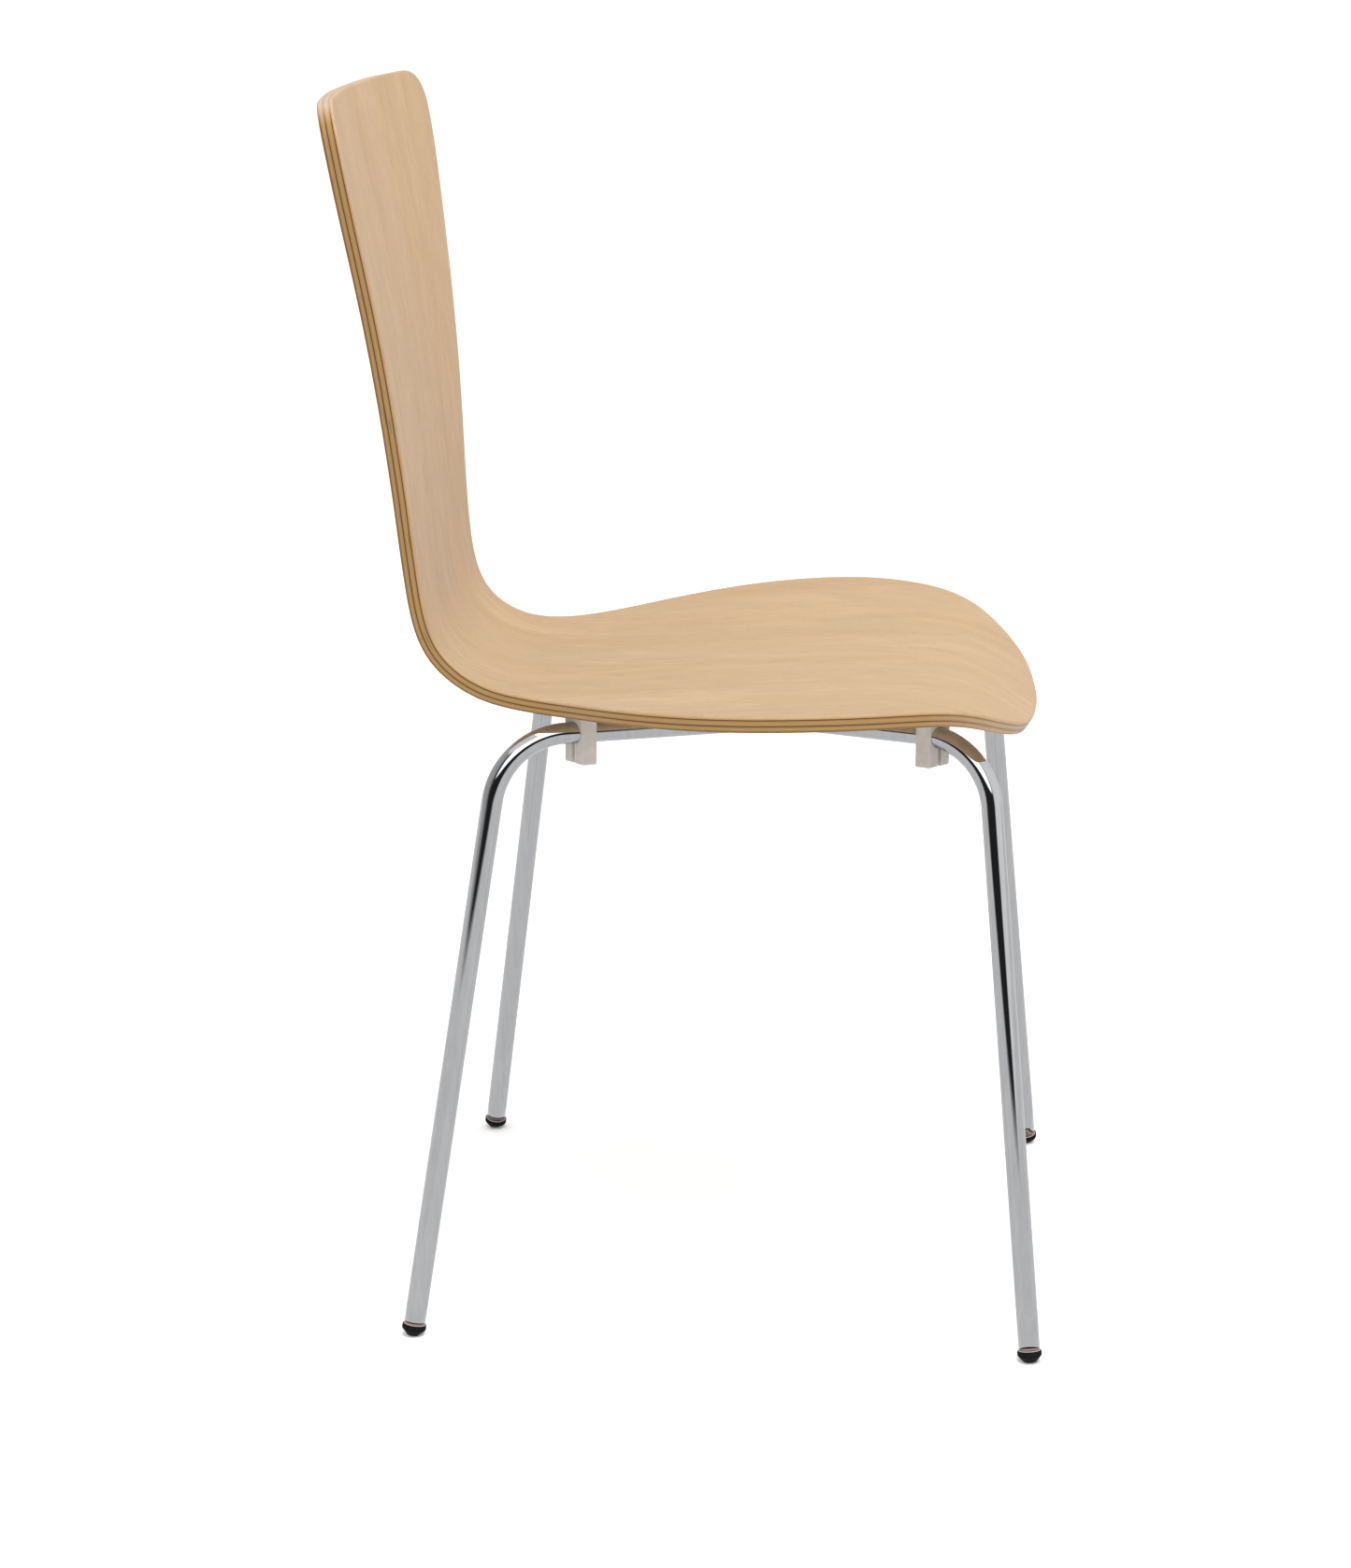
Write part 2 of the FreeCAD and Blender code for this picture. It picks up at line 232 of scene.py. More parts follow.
# one closed surface: round the outline one way, and over the face, the rounded edge, the
# plies and the underside the other way. On the faces a point is the share of the way from
# the centre line out to the rim; on the rim it is the outline moved in by the rounding,
# at its depth
def makeShell(s):
    half, walked = shellOutline(s)
    ahead = unit(np.gradient(half, walked, axis=0))
    ahead[0], ahead[-1] = (1, 0), (-1, 0)
    inwards = np.stack([-ahead[:, 1], ahead[:, 0]], axis=1)
    sideways = np.abs(ahead[:, 1]) + .02  # never quite 0, so the centre line always moves on
    share = np.concatenate([[0], np.cumsum(.5 * (sideways[1:] + sideways[:-1])
                                           * np.diff(walked))])
    spine = np.stack([np.zeros(len(half)),
                      shellLong * (s["spineFrom"] + s["spineLong"] * share / share[-1])],
                     axis=1)

    def both(a, flip):
        return np.vstack([a, (a * flip)[-2:0:-1]])

    rim, inwards = both(half, (-1, 1)), both(inwards, (-1, 1))
    spine = both(spine, (1, 1))
    around = np.concatenate([walked, walked[-2:0:-1]])
    sides = np.concatenate([sideways, sideways[-2:0:-1]])

    turn = np.linspace(0, math.pi / 2, s["acrossRound"] + 1)
    inset = s["round"] * (1 - np.sin(turn))
    deep = s["round"] * (1 - np.cos(turn))
    flat = np.linspace(s["round"], s["thickness"] - s["round"], s["acrossEdge"] + 1)[1:-1]
    rimInset = np.concatenate([inset, np.zeros(len(flat)), inset[::-1]])
    rimDeep = np.concatenate([deep, flat, s["thickness"] - deep[::-1]])
    out = 1 - (1 - np.linspace(0, 1, s["acrossFace"] + 1)[:-1]) ** s["fan"]
    edge = rim[:, None] + inwards[:, None] * rimInset[None, :, None]
    face = spine[:, None] + out[None, :, None] * (edge[:, :1] - spine[:, None])
    plan = np.concatenate([face, edge, face[:, ::-1]], axis=1)
    depth = np.concatenate([np.zeros(len(out)), rimDeep, np.full(len(out), s["thickness"])])
    depth = np.broadcast_to(depth, plan.shape[:2])
    points = shellPlace(plan[..., 0], plan[..., 1], depth)

    rows, columns = plan.shape[:2]
    faces = gridFaces(rows, columns, closeRows=True)
    first, faces = weld(points.reshape(-1, 3), faces)
    piece = meshPiece("moulded_shell", points.reshape(-1, 3)[first], faces)
    plan, depth = plan.reshape(-1, 2)[first], depth.reshape(-1)[first]
    around = np.broadcast_to(around[:, None], (rows, columns)).reshape(-1)[first]
    sides = np.broadcast_to(sides[:, None], (rows, columns)).reshape(-1)[first]
    mesh = piece.data
    for name, values in (("depth", depth), ("around", around * mm), ("sides", sides)):
        layer = mesh.attributes.new(name, "FLOAT", "POINT")
        layer.data.foreach_set("value", np.ascontiguousarray(values, dtype=np.float32))
    corners = np.empty(len(mesh.loops), np.int32)
    mesh.loops.foreach_get("vertex_index", corners)
    grain = mesh.uv_layers.new(name="grain")
    grain.data.foreach_set("uv", (plan[corners] * mm).astype(np.float32).ravel())
    return piece


shell = makeShell(plywoodShell)
print("shell made:", len(shell.data.polygons), "faces")


chromeFrame = {
    "od": 15.0, "bend": 54.0, "middleBend": 60.0, "runHeight": 415.5, "footLift": 4.2,
    "frontKnee": (112.7, -175.7), "rearKnee": (132.6, 157.0), "middle": (62.3, -34.5),
    "around": 56, "arcSteps": 40, "runSteps": 14, "legSteps": 24,
    "endRing": .97,       # the ring that closes an end, against the tube's radius
}


# straight runs joined by arcs: each arc's centre lies on the bisector of its corner,
# radius over the sine of half the corner's angle away
def framePath(c):
    def place(p):
        return np.array([p.x, p.y - middleY, p.z]) / mm

    def corner(p):
        return np.array([p[0], p[1], c["runHeight"]])

    points = [place(frontFoot), corner(c["frontKnee"]), corner(c["middle"]),
              corner(c["rearKnee"]), place(rearFoot)]
    points[0] = points[0] + unit(points[1] - points[0]) * c["footLift"]
    points[-1] = points[-1] + unit(points[-2] - points[-1]) * c["footLift"]
    path = [points[0][None]]
    for before, at, after, radius in zip(points, points[1:], points[2:],
                                         (c["bend"], c["middleBend"], c["bend"])):
        a, b = unit(before - at), unit(after - at)
        half = math.acos(a @ b) / 2
        start = at + a * radius / math.tan(half)
        centre = at + unit(a + b) * radius / math.sin(half)
        x = unit(start - centre)
        y = -a
        swing = np.linspace(0, math.pi - 2 * half, c["arcSteps"])[:, None]
        straight = np.linspace(0, 1, c["runSteps"])[1:-1, None]
        path.append(path[-1][-1] + straight * (start - path[-1][-1]))
        path.append(centre + radius * (x * np.cos(swing) + y * np.sin(swing)))
    straight = np.linspace(0, 1, c["legSteps"])[1:, None]
    path.append(path[-1][-1] + straight * (points[-1] - path[-1][-1]))
    return np.vstack(path)


# a circle carried along the path. Its first direction is the crossways axis less its part
# along the path, its second is square to both; the ends are closed by two shrinking rings
def makeTube(name, path, c, side):
    radius, around, end = c["od"] / 2, c["around"], c["od"] / 2 * c["endRing"]
    ahead = unit(np.gradient(path, axis=0))
    across = np.array([1.0, 0, 0])
    first = unit(across - (ahead @ across)[:, None] * ahead)
    second = np.cross(ahead, first)
    radii = np.concatenate([[0, end], np.full(len(path), radius), [end, 0]])
    path, first, second = (np.vstack([a[:1], a[:1], a, a[-1:], a[-1:]])
                           for a in (path, first, second))
    turn = np.linspace(0, 2 * math.pi, around, endpoint=False)
    ring = (first[:, None] * np.cos(turn)[None, :, None]
            + second[:, None] * np.sin(turn)[None, :, None])
    points = path[:, None] + ring * radii[:, None, None]
    points = points * np.array([side, 1, 1]) * mm + np.array([0, middleY, 0])
    rows = len(path)
    faces = gridFaces(rows, around, closeColumns=True)
    if side < 0:
        faces = faces[:, ::-1]
    piece = meshPiece(name, points, faces)
    closePoles(piece)
    return piece


# merges the points that lie together and turns every face outwards
def closePoles(piece):
    work = bmesh.new()
    work.from_mesh(piece.data)
    bmesh.ops.remove_doubles(work, verts=work.verts, dist=1e-6)
    bmesh.ops.recalc_face_normals(work, faces=work.faces)
    work.to_mesh(piece.data)
    work.free()
    piece.data.update()


tubePath = framePath(chromeFrame)
tubes = {side: makeTube("tube_" + side, tubePath, chromeFrame, sign)
         for side, sign in (("left", 1), ("right", -1))}
print("tubes made:", len(tubePath), "rings each")


footCap = {
    "tip": 4.3, "wall": 0.95, "cone": 4.5, "grip": 3.5, "soften": 0.6, "around": 64,
    "under": 3.0,         # how far the cone runs on under the floor before it is pressed flat
    "lip": 0.30, "lipRise": 0.38, "linerDeep": 4.0,
}


# radius and height along the leg, from the tip's middle round to the inside of the
# mouth, where it meets the tube; the liner's pale lip stands a little above the mouth
def capProfile(c):
    tube = chromeFrame["od"] / 2
    out = tube + c["wall"]
    top = c["cone"] + c["grip"]
    k, slope = c["soften"], (out - c["tip"]) / c["cone"]
    lip = tube + c["lip"]
    rise, under, bore = c["lipRise"], c["under"], tube - .02
    black = [(0, -under), (c["tip"] - under * slope, -under), (c["tip"], 0),
             (out - .9 * slope, c["cone"] - .9), (out - .25 * slope, c["cone"] - .3),
             (out - .04, c["cone"] + .2), (out, c["cone"] + .7), (out, top - k),
             (out - k * .15, top - k * .45), (out - k * .4, top - k * .1),
             (out - k * .7, top), (lip + .08, top), (lip + .02, top - .1)]
    pale = [(lip, top), (lip, top + rise - .1), (lip - .1, top + rise), (bore, top + rise),
            (bore, top - c["linerDeep"]), (0, top - c["linerDeep"])]
    return np.array(black + pale), len(black)


# the profile turned round the leg's axis, with what falls under the floor pressed flat on
# it
def makeCap(name, foot, knee, c):
    up = unit(knee - foot)
    first = unit(np.cross(up, [0, 1.0, 0]))
    second = np.cross(up, first)
    profile, blackRings = capProfile(c)
    turn = np.linspace(0, 2 * math.pi, c["around"], endpoint=False)
    ring = first * np.cos(turn)[:, None] + second * np.sin(turn)[:, None]
    points = (foot + up * profile[:, 1][:, None, None]
              + ring[None] * profile[:, 0][:, None, None])
    points[..., 2] = np.maximum(points[..., 2], 0)
    points = points * mm + np.array([0, middleY, 0])
    faces = gridFaces(len(profile), c["around"], closeColumns=True)
    piece = meshPiece(name, points, faces)
    lip = piece.data.attributes.new("lip", "FLOAT", "POINT")
    pale = np.repeat(np.arange(len(profile)) >= blackRings, c["around"])
    lip.data.foreach_set("value", pale.astype(np.float32))
    closePoles(piece)
    return piece


caps = {}
for end, kneeAt, foot in (("front", chromeFrame["frontKnee"], frontFoot),
                          ("rear", chromeFrame["rearKnee"], rearFoot)):
    for side, sign in (("left", 1), ("right", -1)):
        footAt = np.array([foot.x * sign, foot.y - middleY, 0]) / mm
        knee = np.array([kneeAt[0] * sign, kneeAt[1], chromeFrame["runHeight"]])
        caps[end + "_" + side] = makeCap("cap_" + end + "_" + side, footAt, knee, footCap)
print("caps made")


def newMaterial(name, metallic=0.0, roughness=0.5, colour=(.5, .5, .5)):
    material = bpy.data.materials.new(name)
    material.use_nodes = True
    tree = material.node_tree
    tree.nodes.clear()
    shader = tree.nodes.new("ShaderNodeBsdfPrincipled")
    output = tree.nodes.new("ShaderNodeOutputMaterial")
    tree.links.new(shader.outputs["BSDF"], output.inputs["Surface"])
    shader.inputs["Base Color"].default_value = (*colour, 1)
    shader.inputs["Metallic"].default_value = metallic
    shader.inputs["Roughness"].default_value = roughness
    return material, tree, shader


# adds a node, sets its properties, and fills its inputs with values or links
def wire(tree, kind, inputs=None, **settings):
    node = tree.nodes.new("ShaderNode" + kind)
    for key, value in settings.items():
        setattr(node, key, value)
    for key, value in (inputs or {}).items():
        if isinstance(value, bpy.types.NodeSocket):
            tree.links.new(value, node.inputs[key])
        else:
            node.inputs[key].default_value = value
    return node


def mathNode(tree, operation, *values):
    node = wire(tree, "Math", operation=operation)
    for k, value in enumerate(values):
        if isinstance(value, bpy.types.NodeSocket):
            tree.links.new(value, node.inputs[k])
        else:
            node.inputs[k].default_value = value
    return node.outputs[0]


def rampNode(tree, factor, stops):
    node = wire(tree, "ValToRGB", {"Fac": factor})
    ramp = node.color_ramp
    while len(ramp.elements) > 1:
        ramp.elements.remove(ramp.elements[-1])
    ramp.elements[0].position = stops[0][0]
    ramp.elements[0].color = (*stops[0][1], 1)
    for place, colour in stops[1:]:
        ramp.elements.new(place).color = (*colour, 1)
    return node.outputs["Color"]


def greys(*stops):
    return [(place, (v, v, v)) for place, v in stops]


def mixColours(tree, factor, a, b, blend="MIX"):
    node = wire(tree, "Mix", data_type="RGBA", blend_type=blend)
    for key, value in (("Factor", factor), ("A", a), ("B", b)):
        socket = [i for i in node.inputs if i.name == key and i.enabled][0]
        if isinstance(value, bpy.types.NodeSocket):
            tree.links.new(value, socket)
        else:
            socket.default_value = value if key == "Factor" else (*value, 1)
    return [o for o in node.outputs if o.enabled][0]


beechVeneer = {
    "light": (0.396, 0.270, 0.156), "mid": (0.382, 0.253, 0.138), "warm": (0.362, 0.231, 0.120),
    "plyTan": (0.255, 0.148, 0.054), "plyPale": (0.325, 0.198, 0.076),
    # cross: a pale pinkish edge tone, partly the wood's own tone across the grain and partly a
    # painted sheen where an edge faces up into the light
    "plyBrown": (0.165, 0.080, 0.027), "cross": (0.450, 0.360, 0.285),
    "glue": (0.085, 0.031, 0.007), "fleck": (0.050, 0.014, 0.005),
    # figure on the faces: scale across and along, seed, detail, roughness, distortion
    "broad": (22, 2.2, 3.1, 3.0, .55, .6),
    "streak": (240, 5.0, 7.7, 3.0, .6, .25),
    "fine": (1500, 26, 1.9, 2.0, .6, 0.0),
    "ray": (900, 150, 5.5, 1.0, .5, 0.0),
    "water": (34, 9.0, 12.3, 2.0, .5, 1.6),
    "broadShare": .72, "streakShare": .28,
    # the cut edge: depth under the face, and colour
    "plies": [(0, "light"), (1.95, "plyPale"), (2.12, "glue"), (2.6, "glue"), (2.8, "plyTan"),
              (4.4, "plyPale"), (6.0, "plyTan"), (6.22, "glue"), (6.68, "glue"), (6.9, "plyTan"),
              (8.6, "plyPale"), (9.3, "plyTan"), (10.1, "plyBrown"), (11.0, "plyBrown")],
    # faint bands of the wood's tone under a painted sheen, which take the plies' place where the
    # edge faces up
    "sheenBands": [(0, "cross"), (.22, "mid"), (.4, "cross"), (.62, "mid"), (.8, "cross"),
                   (1, "mid")],
    "edgeStarts": (.5, 1.5), "edgeEnds": (10.75, 10.98),
    "fibreLong": 55.0, "fibreDeep": 2.6,
    "roughness": (.36, .46), "coat": .03, "coatRoughness": .22, "specular": .12,
    "bump": .06, "bumpHigh": .0004,
}


def beechMaterial(v):
    material, tree, shader = newMaterial("beechVeneer")
    uv = wire(tree, "UVMap", uv_map="grain").outputs["UV"]
    depth = wire(tree, "Attribute", attribute_name="depth").outputs["Fac"]
    around = wire(tree, "Attribute", attribute_name="around").outputs["Fac"]
    sides = wire(tree, "Attribute", attribute_name="sides").outputs["Fac"]
    place = wire(tree, "TexCoord").outputs["Object"]
    thick = plywoodShell["thickness"]

    # noise stretched along the moulding
    def figure(kind):
        across, along, seed, detail, roughness, distortion = v[kind]
        stretched = wire(tree, "Mapping", {"Vector": uv, "Location": (seed, seed * 1.7, seed),
                                           "Scale": (across, along, 1)}).outputs["Vector"]
        return wire(tree, "TexNoise", {"Vector": stretched, "Scale": 1.0, "Detail": detail,
                                       "Roughness": roughness,
                                       "Distortion": distortion}).outputs["Fac"]

    def times(a, b):
        return mixColours(tree, 1.0, a, b, "MULTIPLY")

    # the faces: a slow change of tone, streaks and a wavy sheen over it, then fine grain and
    # the darker rays
    streak, fine = figure("streak"), figure("fine")
    tone = mathNode(tree, "ADD", mathNode(tree, "MULTIPLY", figure("broad"), v["broadShare"]),
                    mathNode(tree, "MULTIPLY", streak, v["streakShare"]))
    base = rampNode(tree, tone, [(.30, v["warm"]), (.47, v["mid"]), (.66, v["light"])])
    base = times(base, rampNode(tree, figure("water"),
                                greys((.50, 1.0), (.60, 1.045), (.72, 1.075))))
    base = times(base, rampNode(tree, fine, greys((.28, .86), (.52, 1.0), (.75, 1.05))))
    veneer = times(base, rampNode(tree, figure("ray"), greys((.57, 1.0), (.66, .93), (.8, .87))))

    # the plies at the cut edge, by depth under the face, which wanders a little
    wander = wire(tree, "TexNoise", {"Vector": place, "Scale": 14.0,
                                     "Detail": 2.0}).outputs["Fac"]
    wander = mathNode(tree, "MULTIPLY", mathNode(tree, "SUBTRACT", wander, .5), .5)
    share = mathNode(tree, "DIVIDE", mathNode(tree, "ADD", depth, wander), thick)
    plies = rampNode(tree, share, [(deep / thick, v[kind]) for deep, kind in v["plies"]])
    # the same depths as faint pale bands: painted sheen of an edge that catches the light
    edgeSheen = rampNode(tree, share, [(at, v[kind]) for at, kind in v["sheenBands"]])

    # the plies stand out along the sides; at the front edge less, and at the top edge least, they
    # give way to pale bands of painted sheen where the edge catches the light
    clear = rampNode(tree, sides, greys((.35, .12), (.85, 1.0)))
    height = wire(tree, "SeparateXYZ", {"Vector": place}).outputs["Z"]
    low = rampNode(tree, height, greys((.5, .55), (.6, 0.0)))
    plies = mixColours(tree, mathNode(tree, "MAXIMUM", clear, low), edgeSheen, plies)

    # fibres along the edge, and a few dark flecks
    edgeWise = wire(tree, "CombineXYZ", {
        "X": mathNode(tree, "MULTIPLY", around, v["fibreLong"]),
        "Y": mathNode(tree, "MULTIPLY", depth, v["fibreDeep"]), "Z": 0.0}).outputs["Vector"]
    fibres = wire(tree, "TexNoise", {"Vector": edgeWise, "Scale": 1.0, "Detail": 4.0,
                                     "Roughness": .65}).outputs["Fac"]
    plies = times(plies, rampNode(tree, fibres, greys((.3, .86), (.7, 1.06))))
    knots = wire(tree, "TexNoise", {"Vector": edgeWise, "Scale": .55, "Detail": 1.0,
                                    "Roughness": .4}).outputs["Fac"]
    spots = rampNode(tree, knots, greys((.735, 0.0), (.765, 1.0)))
    plies = mixColours(tree, spots, plies, v["fleck"])

    # veneer on both faces, plies between them
    cut = mathNode(tree, "DIVIDE", depth, thick)
    starts, ends = [[deep / thick for deep in v[key]] for key in ("edgeStarts", "edgeEnds")]
    onEdge = mathNode(tree, "MULTIPLY",
                      rampNode(tree, cut, greys((starts[0], 0.0), (starts[1], 1.0))),
                      rampNode(tree, cut, greys((ends[0], 1.0), (ends[1], 0.0))))
    tree.links.new(mixColours(tree, onEdge, veneer, plies), shader.inputs["Base Color"])

    smooth, rough = v["roughness"]
    tree.links.new(rampNode(tree, streak, greys((.2, smooth), (.8, rough))),
                   shader.inputs["Roughness"])
    shader.inputs["Coat Weight"].default_value = v["coat"]
    shader.inputs["Coat Roughness"].default_value = v["coatRoughness"]
    shader.inputs["Specular IOR Level"].default_value = v["specular"]
    bump = wire(tree, "Bump", {"Height": fine, "Strength": v["bump"],
                               "Distance": v["bumpHigh"]})
    tree.links.new(bump.outputs["Normal"], shader.inputs["Normal"])
    return material


# noise on Object coordinates, stretched by a scale of its own for each axis if there is one
def grainNoise(tree, scale, detail):
    place = wire(tree, "TexCoord").outputs["Object"]
    if isinstance(scale, tuple):
        place = wire(tree, "Mapping", {"Vector": place, "Scale": scale}).outputs["Vector"]
        scale = 1.0
    return wire(tree, "TexNoise", {"Vector": place, "Scale": scale,
                                   "Detail": detail}).outputs["Fac"]


brightChrome = {
    "dark": (.435, .44, .45), "light": (.475, .48, .49), "drawn": (260, 260, 3),
    "cloud": 9.0, "roughness": (.022, .05),
}


def chromeMaterial(c):
    material, tree, shader = newMaterial("brightChrome", metallic=1.0)
    lines, cloud = grainNoise(tree, c["drawn"], 2.0), grainNoise(tree, c["cloud"], 3.0)
    tree.links.new(rampNode(tree, lines, [(.3, c["dark"]), (.7, c["light"])]),
                   shader.inputs["Base Color"])
    smooth, rough = c["roughness"]
    tree.links.new(rampNode(tree, cloud, greys((.3, smooth), (.7, rough))),
                   shader.inputs["Roughness"])
    return material


naturalNylon = {
    "dark": (.385, .36, .325), "light": (.44, .415, .38), "roughness": .38, "cloud": 160.0,
    "glow": .55, "glowColour": (1.0, .8, .6), "glowDeep": .004,
}


def nylonMaterial(n):
    material, tree, shader = newMaterial("naturalNylon", roughness=n["roughness"])
    cloud = grainNoise(tree, n["cloud"], 2.0)
    tree.links.new(rampNode(tree, cloud, [(.3, n["dark"]), (.7, n["light"])]),
                   shader.inputs["Base Color"])
    shader.inputs["Subsurface Weight"].default_value = n["glow"]
    shader.inputs["Subsurface Radius"].default_value = n["glowColour"]
    shader.inputs["Subsurface Scale"].default_value = n["glowDeep"]
    return material


blackRubber = {
    "dark": (.0045, .0045, .005), "light": (.009, .009, .0095), "liner": (.50, .40, .35),
    "roughness": .62, "specular": .05, "speck": 900.0, "bump": .2, "bumpHigh": .0002,
}


def capMaterial(b):
    material, tree, shader = newMaterial("blackRubber", roughness=b["roughness"])
    lip = wire(tree, "Attribute", attribute_name="lip").outputs["Fac"]
    speck = grainNoise(tree, b["speck"], 2.0)
    rubber = rampNode(tree, speck, [(.3, b["dark"]), (.75, b["light"])])
    tree.links.new(mixColours(tree, lip, rubber, b["liner"]), shader.inputs["Base Color"])
    shader.inputs["Specular IOR Level"].default_value = b["specular"]
    bump = wire(tree, "Bump", {"Height": speck, "Strength": b["bump"],
                               "Distance": b["bumpHigh"]})
    tree.links.new(bump.outputs["Normal"], shader.inputs["Normal"])
    return material


# the metal that holds the shell to the frame: node, material, light, dark, roughness
metalFixings = [
    ("centre_plate", "platedSteel", (.60, .60, .61), (.50, .50, .515), .32),
    ("weld_beads", "weldSteel", (.52, .51, .50), (.36, .35, .35), .42),
    ("mounting_screws", "screwZinc", (.58, .58, .57), (.44, .44, .45), .30),
    ("mounting_washers", "washerZinc", (.62, .62, .60), (.50, .50, .50), .28),
    ("threaded_inserts", "insertBrass", (.62, .48, .24), (.50, .38, .18), .34),
]


def metalMaterial(name, light, dark, rough):
    material, tree, shader = newMaterial(name, metallic=1.0)
    cloud = grainNoise(tree, 70.0, 4.0)
    tree.links.new(rampNode(tree, cloud, [(.3, dark), (.7, light)]),
                   shader.inputs["Base Color"])
    tree.links.new(rampNode(tree, cloud, greys((.3, rough - .06), (.7, rough + .08))),
                   shader.inputs["Roughness"])
    return material


padPlywood = {
    "dark": (.30, .185, .085), "light": (.50, .34, .18), "roughness": .6,
    "layers": (4, 4, 620), "fibres": (300, 16, 60),
}


def padMaterial(w):
    material, tree, shader = newMaterial("padPlywood", roughness=w["roughness"])
    bands, fibres = grainNoise(tree, w["layers"], 1.0), grainNoise(tree, w["fibres"], 3.0)
    colour = rampNode(tree, bands, [(.4, w["dark"]), (.6, w["light"])])
    colour = mixColours(tree, 1.0, colour, rampNode(tree, fibres, greys((.3, .85), (.7, 1.08))),
                        "MULTIPLY")
    tree.links.new(colour, shader.inputs["Base Color"])
    return material


def dress(piece, material):
    if piece.data.materials:
        piece.data.materials[0] = material
    else:
        piece.data.materials.append(material)


chrome, nylon = chromeMaterial(brightChrome), nylonMaterial(naturalNylon)
rubber = capMaterial(blackRubber)
dress(shell, beechMaterial(beechVeneer))
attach(shell, "root")
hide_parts("seat_shell")
for side, tube in tubes.items():
    dress(tube, chrome)
    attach(tube, "root")
    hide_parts("side_frame_" + side)
for key, cap in caps.items():
    dress(cap, rubber)
    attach(cap, "root")
    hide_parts("foot_" + key)
finishes = {name: nylon for name in nodes if name.startswith("spacer_")}
finishes["mounting_pad"] = padMaterial(padPlywood)
for name, *metal in metalFixings:
    finishes[name] = metalMaterial(*metal)
for name, material in finishes.items():
    dress(nodes[name], material)
print("finishes laid on", len(finishes), "frame nodes")


studio = {
    "floor": 16.0, "floorGrey": .96, "floorRoughness": .9, "sky": 1.16,
    "keyPlace": (-.7, -.5, 2.9), "keyAim": (0, -.05, .4), "keySize": (1.8, 1.8),
    "keyPower": 62.0,
    "roomRadius": 2.3, "roomHeight": 2.8, "roomSides": 96, "sweepTop": 0.36,
    "sweepLift": .0004, "lampFoot": 1.25, "lamp": 2.6, "soft": .02,
    # what the polished tube sees round the room: share of a turn from -X, and grey
    "round": [(0, .01), (.085, .01), (.110, 1.15), (.30, 1.2), (.46, .80), (.54, .74), (.70, .62),
              (.84, .50), (.865, .22), (.905, .01), (1, .01)],
    "sweep": 0.92,
    # where the tall lamp stands round the room
    "lampRound": [(0, 1.0), (.07, 1.0), (.09, 0.0), (.91, 0.0), (.93, 1.0), (1, 1.0)],
}


def flatSheet(name, corners, material):
    sheet = meshPiece(name, np.array(corners, float), np.array([[0, 1, 2, 3]]), smooth=False)
    dress(sheet, material)
    return sheet


half = studio["floor"] / 2
floorPaint = newMaterial("paleFloor", roughness=studio["floorRoughness"],
                         colour=(studio["floorGrey"],) * 3)[0]
flatSheet("floor", [(-half, -half, 0), (half, -half, 0), (half, half, 0), (-half, half, 0)],
          floorPaint)


# plain white all round
def whiteSky(strength):
    made = bpy.data.worlds.new("studio")
    scene.world = made
    made.use_nodes = True
    tree = made.node_tree
    tree.nodes.clear()
    sky = tree.nodes.new("ShaderNodeBackground")
    sky.inputs["Color"].default_value = (1, 1, 1, 1)
    sky.inputs["Strength"].default_value = strength
    output = tree.nodes.new("ShaderNodeOutputWorld")
    tree.links.new(sky.outputs["Background"], output.inputs["Surface"])


whiteSky(studio["sky"])


def softLight(name, place, target, size, power):
    data = bpy.data.lights.new(name, "AREA")
    data.shape, data.size, data.size_y = "RECTANGLE", size[0], size[1]
    data.energy = power
    lamp = bpy.data.objects.new(name, data)
    scene.collection.objects.link(lamp)
    lamp.location = place
    lamp.rotation_euler = (Vector(target) - Vector(place)).to_track_quat("-Z", "Y").to_euler()
    return lamp


softLight("keyLight", studio["keyPlace"], studio["keyAim"], studio["keySize"],
          studio["keyPower"])


# the rest of the studio, which only shows in gloss: a round wall and the white sweep
def onlyInGloss(piece):
    piece.visible_camera = piece.visible_diffuse = piece.visible_shadow = False
    piece.visible_transmission = piece.visible_volume_scatter = False


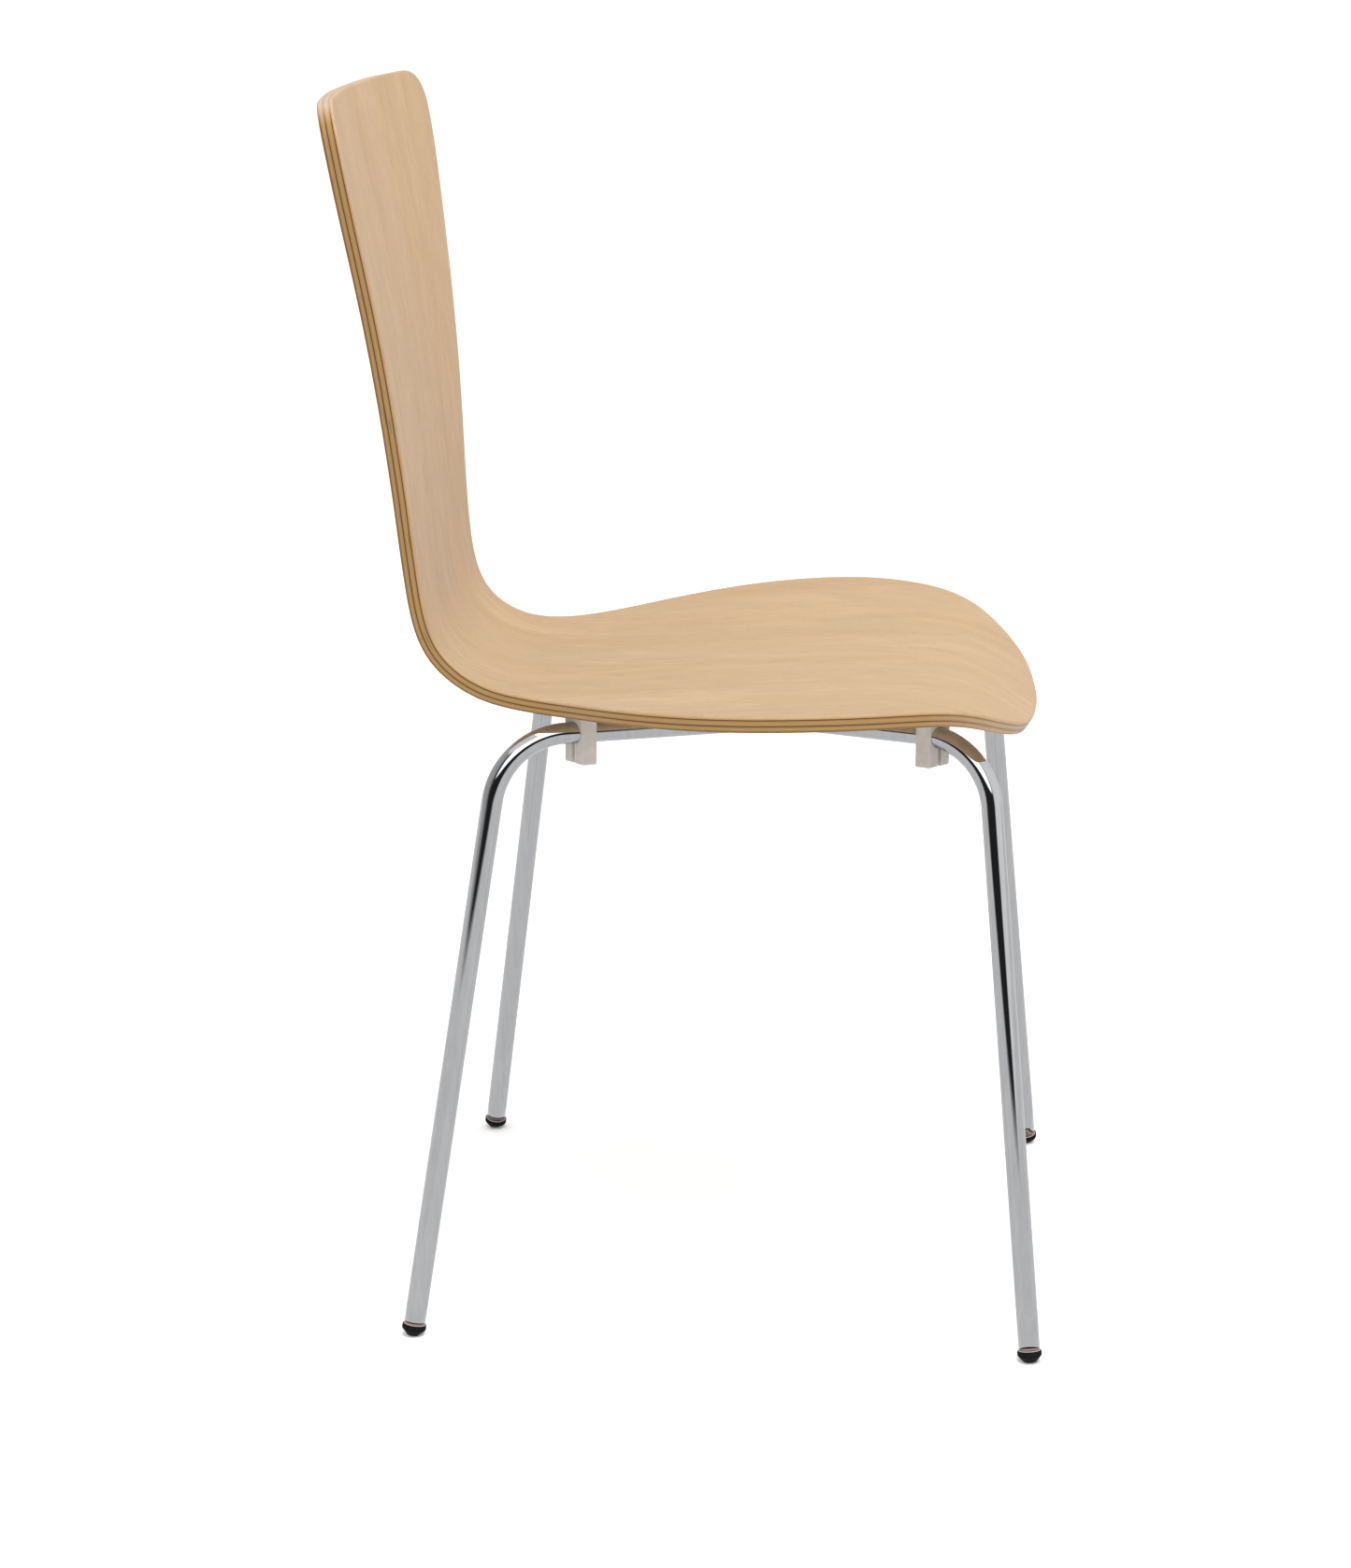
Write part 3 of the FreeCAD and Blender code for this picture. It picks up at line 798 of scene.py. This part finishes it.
def studioRoom(c):
    turn = np.linspace(0, 2 * math.pi, c["roomSides"], endpoint=False)
    ring = np.stack([np.cos(turn), np.sin(turn)], axis=1) * c["roomRadius"]
    heights = np.array([0.0, c["roomHeight"]])
    points = np.zeros((2, c["roomSides"], 3))
    points[:, :, :2] = ring
    points[:, :, 2] = heights[:, None]
    wall = meshPiece("studioWall", points, gridFaces(2, c["roomSides"], closeColumns=True))
    material, tree, shader = newMaterial("studioWall", roughness=1.0, colour=(0, 0, 0))
    spot = wire(tree, "SeparateXYZ",
                {"Vector": wire(tree, "TexCoord").outputs["Object"]}).outputs
    angle = mathNode(tree, "ARCTAN2", mathNode(tree, "MULTIPLY", spot["Y"], -1.0),
                     mathNode(tree, "MULTIPLY", spot["X"], -1.0))
    share = mathNode(tree, "FRACT", mathNode(tree, "DIVIDE", angle, 2 * math.pi))
    tone = rampNode(tree, share, greys(*c["round"]))
    rise = mathNode(tree, "DIVIDE", spot["Z"], c["roomHeight"])

    # 0 below a height of the wall and 1 above it
    def higher(height):
        at, soft = height / c["roomHeight"], c["soft"]
        return rampNode(tree, rise, greys((at - soft, 0.0), (at + soft, 1.0)))

    above = higher(c["sweepTop"])
    tone = mixColours(tree, above, (c["sweep"],) * 3, tone)
    lit = mathNode(tree, "MULTIPLY", higher(c["lampFoot"]),
                   rampNode(tree, share, greys(*c["lampRound"])))
    tone = mixColours(tree, lit, tone, (c["lamp"],) * 3)
    tree.links.new(tone, shader.inputs["Emission Color"])
    shader.inputs["Emission Strength"].default_value = 1.0
    dress(wall, material)
    onlyInGloss(wall)
    sweepPaint, tree, shader = newMaterial("studioSweep", roughness=1.0, colour=(0, 0, 0))
    shader.inputs["Emission Color"].default_value = (c["sweep"],) * 3 + (1,)
    shader.inputs["Emission Strength"].default_value = 1.0
    r, lift = c["roomRadius"], c["sweepLift"]
    onlyInGloss(flatSheet("studioSweep", [(-r, -r, lift), (r, -r, lift), (r, r, lift),
                                          (-r, r, lift)], sweepPaint))


studioRoom(studio)
scene.view_settings.view_transform = "Standard"
print("room lit")
